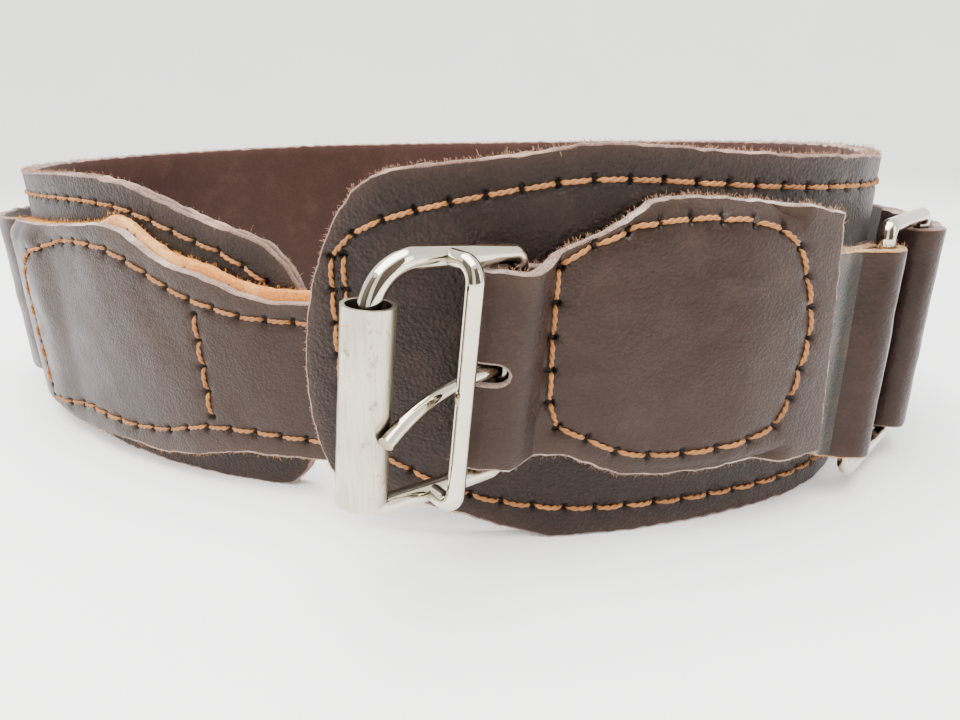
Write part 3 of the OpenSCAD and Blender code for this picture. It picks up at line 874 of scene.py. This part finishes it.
def around(centre, h, r, way, degrees):
    """Points of a turn round an upright bar: 0 degrees on its belt side, 180 on its outer side."""
    a = np.radians(degrees)
    x = centre[0] - r * np.cos(a) * math.sin(h) + way * r * np.sin(a) * math.cos(h)
    y = centre[1] + r * np.cos(a) * math.cos(h) + way * r * np.sin(a) * math.sin(h)
    return np.stack([x, y, 0 * x], -1)


back_s = np.arange(244, 225, -2.0)
fold_points = np.vstack([spot(back_s, strap_off(back_s) - STRAP_T - GLUE, 0),
                         around(far_bar, far_h, FAR_LOOP_R, -1, np.arange(0, 181, 10.0))])
fold_length = Path(fold_points).length
strap_fold = Path(fold_points, FAR_S - fold_length)


def strap_mid(run, z):
    """Run is s on the outside; below far_s it goes back through the fold to the tail behind it."""
    outside = spot(np.maximum(run, FAR_S), strap_off(np.maximum(run, FAR_S)), z)
    return np.where(run[:, None] < FAR_S, strap_fold(run, z), outside)


def strap_outline():
    s = np.arange(FAR_S - fold_length, STRAP_TAIL_S + 0.1, 1.0)
    trim = 8 * ease((s - LEFT_PATCH_S + 10) / 8)
    low = np.stack([s, STRAP_LOW + trim], -1)
    high = np.stack([s, STRAP_TOP - trim], -1)[::-1]
    return np.vstack([low, high])


strap_seams = (STRAP_LOW + 6, STRAP_TOP - 6)
strap_rows = [np.array([[s, z] for s in range(452, STRAP_LEAVE_S - 3, 8)], float) for z in strap_seams]
strap_front_rows = [np.array([[s, z] for s in range(384, 444, 8)] + [[443, z]], float)
                    for z in strap_seams]
strap_front_rows.append(np.array([[236, z] for z in strap_seams], float))
strap_all = strap_rows + strap_front_rows
strap = Sheet(strap_mid, STRAP_T, [strap_outline()], 2.6, pits_of(strap_all), strap_all,
              lambda s, z: 0.3 * waves(s, z, 30, 21) + 0.1 * waves(s, z, 8, 22), seed=13)
strap_looks = [strap_grain, flesh, raw_edge]
wing = part_of(strap, in_wing, "tool_strap_front", strap_looks)
rear = part_of(strap, in_rear, "tool_strap_back", strap_looks)
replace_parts(bends(wing), "tool_strap_wing")
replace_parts(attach(rear, "rear"), "tool_strap_rear")

# ---------------- the ring's loop
LOOP_TAIL_S = [124, 131, 138, 145, 154]
LOOP_TAIL_LOW = [27, 27, 25, 20, 13.5]
SUEDE_AND_SHADE_END_S = 158   # the loop's outer layer is bare suede up to here, coloured darker as painted shade of the valley by the patch's end
tail_s = np.arange(LOOP_TAIL_S[0], LOOP_TAIL_S[-1] + 0.1, 1.0)
loop_mid = Path(np.vstack([spot(tail_s, 2 * GLUE + STRAP_T * 1.5, 0),
                           around(near_bar, near_h, LOOP_R, 1, np.arange(232, 19, -8.0)),
                           spot(tail_s[::-1], GLUE + STRAP_T / 2, 0)]), soft=6)


def loop_outline():
    run = np.arange(0, loop_mid.length, 1.0)
    low = np.interp(LOOP_TAIL_S[0] + np.minimum(run, loop_mid.length - run), LOOP_TAIL_S, LOOP_TAIL_LOW)
    return np.vstack([np.stack([run, low], -1), np.stack([run, 0 * run + LOOP_TOP], -1)[::-1]])


loop = Sheet(loop_mid, STRAP_T, [loop_outline()], 2.0, seed=14,
             relief=lambda s, z: 0.15 * waves(s, z, 14, 31) + 0.08 * waves(s, z, 5, 32))
loop_run = loop.run[loop.tris].mean(1)[:, 0]
# The loop's outer tail gets the dark olive suede: bare suede, with painted shade of the valley in its
# colour
loop.kind[(loop.kind == GRAIN) & (loop_run < SUEDE_AND_SHADE_END_S - LOOP_TAIL_S[0])] = EXTRA
loop_leather = whole(loop, "ring_loop_leather", [strap_grain, flesh, tan_edge, olive])
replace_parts(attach(loop_leather, "wing"), "ring_loop")

# ---------------- the buckle patch
FOLD_R = 5.4
FOLD_OFF = GLUE + PATCH_T / 2 + FOLD_R
FRONT_REST = GLUE + PATCH_T * 1.5
TAIL_RUN = 92.0 - FOLD_S
BEND_RUN = math.pi * FOLD_R
FRONT_RUN = TAIL_RUN + BEND_RUN
fold_h = walk(np.array([FOLD_S]))[2][0]


def lean(s, z):
    """How far along the belt the patch leans at height z, with the buckle's heel bar."""
    return (z - HEEL_Z) * (math.tan(FOLD_TILT) * (1 - ease((s - 75) / 40)) - 0.07 * ease((s - 110) / 30))


def fold_rise(s):
    """The fold's edges run square to the leaning heel bar."""
    return (HEEL_S - s) * math.tan(FOLD_TILT) * (1 - ease((s - 60) / 10))


def front_off(s, z):
    fall = FRONT_REST + (FOLD_OFF + FOLD_R - FRONT_REST) * (1 - ease((s - HEEL_S - 1.5) / 8))
    return np.where(s < 68, fall, patch_lift(s, z) + PATCH_T / 2)


def patch_mid(run, z):
    """From the tail's end under the patch, round the heel bar, then out along the front."""
    s_tail = FOLD_S + np.clip(TAIL_RUN - run, 0, None)
    s_bend = FOLD_S - FOLD_R * np.sin(math.pi * np.clip((run - TAIL_RUN) / BEND_RUN, 0, 1))
    s_any = np.where(run < TAIL_RUN, s_tail, np.where(run < FRONT_RUN, s_bend, FOLD_S + run - FRONT_RUN))
    z = z + fold_rise(s_any)
    tail = spot(s_tail + lean(s_tail, z), FOLD_OFF - FOLD_R, z)
    heel = spot(FOLD_S + lean(FOLD_S, z), FOLD_OFF, z)
    a = math.pi * np.clip((run - TAIL_RUN) / BEND_RUN, 0, 1)
    sin_h, cos_h = math.sin(fold_h), math.cos(fold_h)
    bend = heel + FOLD_R * np.stack([-np.cos(a) * sin_h - np.sin(a) * cos_h,
                                     np.cos(a) * cos_h - np.sin(a) * sin_h, 0 * a], -1)
    s_front = FOLD_S + np.clip(run - FRONT_RUN, 0, None)
    front = spot(s_front + lean(s_front, z), front_off(s_front, z), z)
    r = run[:, None]
    return np.where(r < TAIL_RUN, tail, np.where(r < FRONT_RUN, bend, front))


def front_run(points):
    """(s, z) on the patch's front as (run, z) on its cut."""
    p = np.array(points, float)
    p[:, 0] += FRONT_RUN - FOLD_S - lean(p[:, 0], p[:, 1])
    return p


def patch_outline():
    s = np.arange(FOLD_S, PATCH_END_S + 0.1, 1.0)
    low = np.stack([s + FRONT_RUN - FOLD_S, patch_low(s)], -1)
    high = np.stack([s + FRONT_RUN - FOLD_S, patch_top(s)], -1)[::-1]
    half = BILLET_W / 2
    back = np.array([[0, half - 2.5], [14, half - 2.5], [24, half], [FRONT_RUN - 2, half]], float)
    return np.vstack([back * (1, -1) + (0, HEEL_Z), low, high, back[::-1] + (0, HEEL_Z)])


def slot_outline():
    """Slot for the tongue across the fold: a long hole with rounded ends."""
    a = np.radians(np.linspace(90, 270, 9))
    left = np.stack([TAIL_RUN - 7.5 + 3 * np.cos(a), HEEL_Z + 2.5 * np.sin(a)], -1)
    right = np.stack([FRONT_RUN + 2.5 - 3 * np.cos(a), HEEL_Z - 2.5 * np.sin(a)], -1)
    return np.vstack([left, right])


patch_rows = [front_run([[70.2, 77.5], [75, 81], [84, 84], [90, 86], [101.5, 86.9], [114.5, 86],
                         [126, 83.3], [129.8, 80.6], [136, 67], [137.8, 55], [134.2, 37], [129.5, 28.5],
                         [107.5, 25.6], [88.5, 26.1], [80.8, 31], [73.8, 34.4], [68.3, 36.6], [69, 61],
                         [70.2, 77]])]


def patch_relief(run, z):
    s = run - FRONT_RUN + FOLD_S
    crease = -0.3 * np.exp(-((s - 67.5) / 1.2) ** 2) * (np.abs(z - HEEL_Z) < 26)
    return crease + 0.22 * waves(run, z, 24, 41) + 0.08 * waves(run, z, 6, 42)


patch = Sheet(patch_mid, PATCH_T, [patch_outline(), slot_outline()], 2.2, pits_of(patch_rows),
              patch_rows, patch_relief, seed=15)
patch_looks = [patch_grain, flesh, patch_edge]
patch_leather = whole(patch, "buckle_patch_leather", patch_looks)
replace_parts(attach(patch_leather, "wing"), "buckle_patch")

# ---------------- the billet and its patch
BILLET_MID = LEFT_TOP - BILLET_W / 2
FREE_S = 1000   # the billet is on its own from here
HOLE_S = PLAN_LEN + 22
UNDER_PROUD = 2.8   # how far the second layer stands out above the billet
PROUD_FROM_S = 905
PROUD_TO_S = 1015


def billet_tip(s):
    r = BILLET_END - s
    return np.where(r < 24, 14 * np.clip(1 - r / 24, 0, 1) ** 1.6, 0)


def billet_edges(s, shrink=0.0):
    q = np.minimum(s, FREE_S)
    e = billet_tip(s) + shrink
    return left_low(q) + e, left_top(q) - e


def billet_outline(start, end, shrink=0.0, proud=0.0):
    """The cut of the billet and its patch; proud lets its upper edge stand out beside the tip."""
    s = np.arange(start, end + 0.1, 1.0)
    low, high = billet_edges(s, shrink)
    high = high + proud * ease((s - 925) / 12) * (1 - ease((s - 1010) / 20))
    return np.vstack([np.stack([s, low], -1), np.stack([s, high], -1)[::-1]])


def punched(radius):
    """The cuts of the billet's round holes."""
    a = np.radians(np.arange(0, 360, 20))
    return [np.stack([HOLE_S + HOLE_PITCH * i + radius * np.cos(a), BILLET_MID + radius * np.sin(a)], -1)
            for i in range(HOLES)]


def billet_lift(s, z):
    q = np.minimum(s, FREE_S)
    return left_lift(q, np.where(s > FREE_S, BILLET_MID, z))


billet_rows = [np.array([[870, 16], [866, 30], [868, 58], [880, 69], [903, 75], [920, 76], [935, 74],
                         [945, 70], [953, 66], [962, 62], [970, 60], [983, 57], [PLAN_LEN, 56],
                         [BILLET_END - 22, 56]], float),
               np.array([[870, 11], [900, 15], [930, 14], [945, 15.5], [962, 20], [974, 20.5],
                         [PLAN_LEN, 19], [BILLET_END - 22, 19]], float),
               np.array([[965.5, 57], [966.5, 24]], float)]
billet = Sheet(lambda s, z: spot(s, billet_lift(s, z) + PATCH_T / 2, z), PATCH_T,
               [billet_outline(LEFT_PATCH_S, BILLET_END)] + punched(HOLE_R), 2.2,
               pits_of(billet_rows), billet_rows,
               lambda s, z: 0.25 * waves(s, z, 26, 51) + 0.08 * waves(s, z, 7, 52), seed=16)


def under_mid(s, z):
    """Middle surface of the second layer, flat to the belt and then free with the billet."""
    lift = left_under(np.minimum(s, FREE_S), np.where(s > FREE_S, BILLET_MID, z))
    return spot(s, lift + BILLET_LINING_T / 2, z)


under_cut = billet_outline(LEFT_PATCH_S + 0.5, BILLET_END - 0.5, 0.15, UNDER_PROUD)
under = Sheet(under_mid, BILLET_LINING_T, [under_cut] + punched(HOLE_R), 3.0, seed=17)
billet_leather = whole(billet, "billet_patch_leather", patch_looks)
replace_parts(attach(billet_leather, "rear"), "billet_patch")
# The strip of the second layer that stands out above the billet is raw, like its edge
at_s, at_z = under.run[under.tris].mean(1).T
showing = (at_s > PROUD_FROM_S) & (at_s < PROUD_TO_S) & (at_z > billet_edges(at_s)[1] - 1.0)
under.kind[showing & (under.kind == GRAIN)] = RAW_EDGE
under_leather = whole(under, "billet_lining_leather", [flesh, flesh, pale_edge])
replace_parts(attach(under_leather, "rear"), "billet_lining")

# ---------------- sewing
def seam(name, sheet, rows, seed):
    """The stitches of some rows as one piece."""
    tubes = Tubes()
    sew(tubes, sheet, rows, seed)
    return tubes.object(name, thread)


belt_front = seam("belt_stitches_front", outer, wing_rows, 61)
strap_front = seam("strap_stitches_front", strap, strap_front_rows, 66)
belt_back = seam("belt_stitches_back", outer, rear_rows, 62)
patch_seam = seam("patch_stitches", patch, patch_rows, 63)
billet_seam = seam("billet_stitches", billet, billet_rows, 64)
strap_back = seam("strap_stitches_back", strap, strap_rows, 65)
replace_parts(bends(belt_front), "belt_thread_wing")
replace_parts(bends(strap_front), "strap_thread_wing")
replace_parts(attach(belt_back, "rear"), "belt_thread_rear")
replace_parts(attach(patch_seam, "wing"), "patch_thread")
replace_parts(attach(billet_seam, "rear"), "billet_thread")
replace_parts(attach(strap_back, "rear"), "strap_thread_rear")

# ---------------- loose fibres on the raw edges
fuzz_wing, fuzz_rear = Tubes(), Tubes()
fibres(fuzz_wing, outer, 14000, 71, in_wing)
fibres(fuzz_wing, lining, 5000, 73, in_wing)
fibres(fuzz_rear, outer, 14000, 72, in_rear)
fibres(fuzz_rear, lining, 5000, 74, in_rear)
fuzz_patch, fuzz_billet = Tubes(), Tubes()
fibres(fuzz_patch, patch, 4500, 75)
fibres(fuzz_patch, loop, 2500, 76)
fibres(fuzz_billet, under, 5000, 77)
fibres(fuzz_billet, billet, 3000, 78)
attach(fuzz_patch.object("patch_fibres", fuzz_tan), "wing")
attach(fuzz_billet.object("billet_fibres", fuzz_gold), "rear")
bends(fuzz_wing.object("edge_fibres_front", fuzz_tan))
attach(fuzz_rear.object("edge_fibres_back", fuzz_tan), "rear")

# ---------------- metal, on the CAD nodes themselves
bright = nickel_look("bright_nickel", (0.588, 0.54, 0.43, 1), 0.07)
dull = nickel_look("dull_nickel", (0.529, 0.484, 0.377, 1), 0.26, brushed=0.6, spots=0.8)
for node, look in (("buckle_frame", bright), ("buckle_keeper", bright), ("buckle_tongue", bright),
                   ("side_ring", bright), ("buckle_roller", dull)):
    mesh = frame["nodes"][node].data
    mesh.materials.clear()
    mesh.materials.append(look)

# ---------------- floor, light and camera
# Lengths below are in metres
FLOOR_R = 1.6
SWEEP_R = 0.9
WALL_TOP = 2.6
FLOOR_DROP = 0.0002   # just under the belt's lower edge
FLAG_R = 0.7
FLAG_CENTRE_Y = -0.15


def studio_floor():
    """A pale round floor that sweeps up into a wall."""
    look = Look("studio_white")
    tone = look.noise(look.place(), 3.0, 2.0)
    white = look.mix(tone, (0.86, 0.85, 0.84, 1), (0.9, 0.89, 0.885, 1))
    look.set(look.bsdf, {"Base Color": white, "Roughness": 0.85})
    profile = [(r, 0.0) for r in np.linspace(0, FLOOR_R, 9)]
    profile += [(FLOOR_R + SWEEP_R * math.sin(a), SWEEP_R - SWEEP_R * math.cos(a))
                for a in np.radians(np.arange(10, 91, 10))]
    profile.append((FLOOR_R + SWEEP_R, WALL_TOP))
    turns = 96
    verts = [(r * math.cos(math.tau * k / turns), r * math.sin(math.tau * k / turns), z)
             for r, z in profile for k in range(turns)]
    quads = [(i + k, i + (k + 1) % turns, i + turns + (k + 1) % turns, i + turns + k)
             for i in range(0, (len(profile) - 1) * turns, turns) for k in range(turns)]
    me = bpy.data.meshes.new("floor")
    me.from_pydata(verts, [], [q[::-1] for q in quads])
    me.polygons.foreach_set("use_smooth", np.ones(len(me.polygons), bool))
    me.materials.append(look.material)
    obj = linked("floor", me)
    obj.location.z = -FLOOR_DROP
    return obj


def softbox(name, place, aim, size, power, colour=(1, 1, 1)):
    """A rectangular light at a place, turned towards its aim."""
    light = bpy.data.lights.new(name, "AREA")
    light.shape = "RECTANGLE"
    light.size, light.size_y = size
    light.energy = power
    light.color = colour
    obj = linked(name, light)
    obj.location = place
    obj.rotation_euler = (Vector(aim) - Vector(place)).to_track_quat("-Z", "Y").to_euler()
    return obj


def flag(name, start, end, low, high):
    """A curved dark card in front, seen only in reflections, like the room behind a photographer."""
    turn = np.radians(np.linspace(start, end, 13))
    verts = [(FLAG_R * math.sin(a), FLAG_CENTRE_Y - FLAG_R * math.cos(a), z)
             for a in turn for z in (low, high)]
    me = bpy.data.meshes.new(name)
    me.from_pydata(verts, [], [(i, i + 2, i + 3, i + 1) for i in range(0, len(verts) - 2, 2)])
    look = Look(name)
    tone = look.noise(look.place(), 6.0, 2.0)
    dark = look.mix(tone, (0.05, 0.035, 0.025, 1), (0.02, 0.015, 0.01, 1))
    look.set(look.bsdf, {"Base Color": dark, "Roughness": 0.9})
    me.materials.append(look.material)
    obj = linked(name, me)
    obj.visible_camera = obj.visible_diffuse = obj.visible_shadow = False
    return obj


studio_floor()
flag("flag_left", -85, -24, 0.02, 0.9)
flag("flag_right", 8, 62, 0.02, 0.9)
softbox("overhead", (-0.15, -0.1, 1.25), (0, 0, 0), (1.4, 1.2), 62)
softbox("window_left", (-1.1, -0.7, 0.75), (0, 0, 0.05), (0.9, 0.9), 22, (1, 0.99, 0.97))
softbox("window_right", (1.1, -0.9, 0.6), (0, 0, 0.05), (0.7, 0.9), 9)

world = bpy.data.worlds.new("studio")
bpy.context.scene.world = world
world.use_nodes = True
background = world.node_tree.nodes["Background"].inputs
background["Color"].default_value = (1, 1, 1, 1)
background["Strength"].default_value = 1.9

CAMERA_AT = Vector((0.0264, -0.2911, 0.1076))
CAMERA_PITCH = math.radians(19.1)
CAMERA_ROLL = math.radians(-1.0)
CAMERA_LENS = 24.9
camera = linked("camera", bpy.data.cameras.new("camera"))
camera.data.sensor_width = 36
camera.data.lens = CAMERA_LENS
camera.data.clip_start = 0.01
camera.matrix_world = (Matrix.Translation(CAMERA_AT) @ Matrix.Rotation(math.pi / 2 - CAMERA_PITCH, 4, "X")
                       @ Matrix.Rotation(CAMERA_ROLL, 4, "Z"))
bpy.context.scene.camera = camera
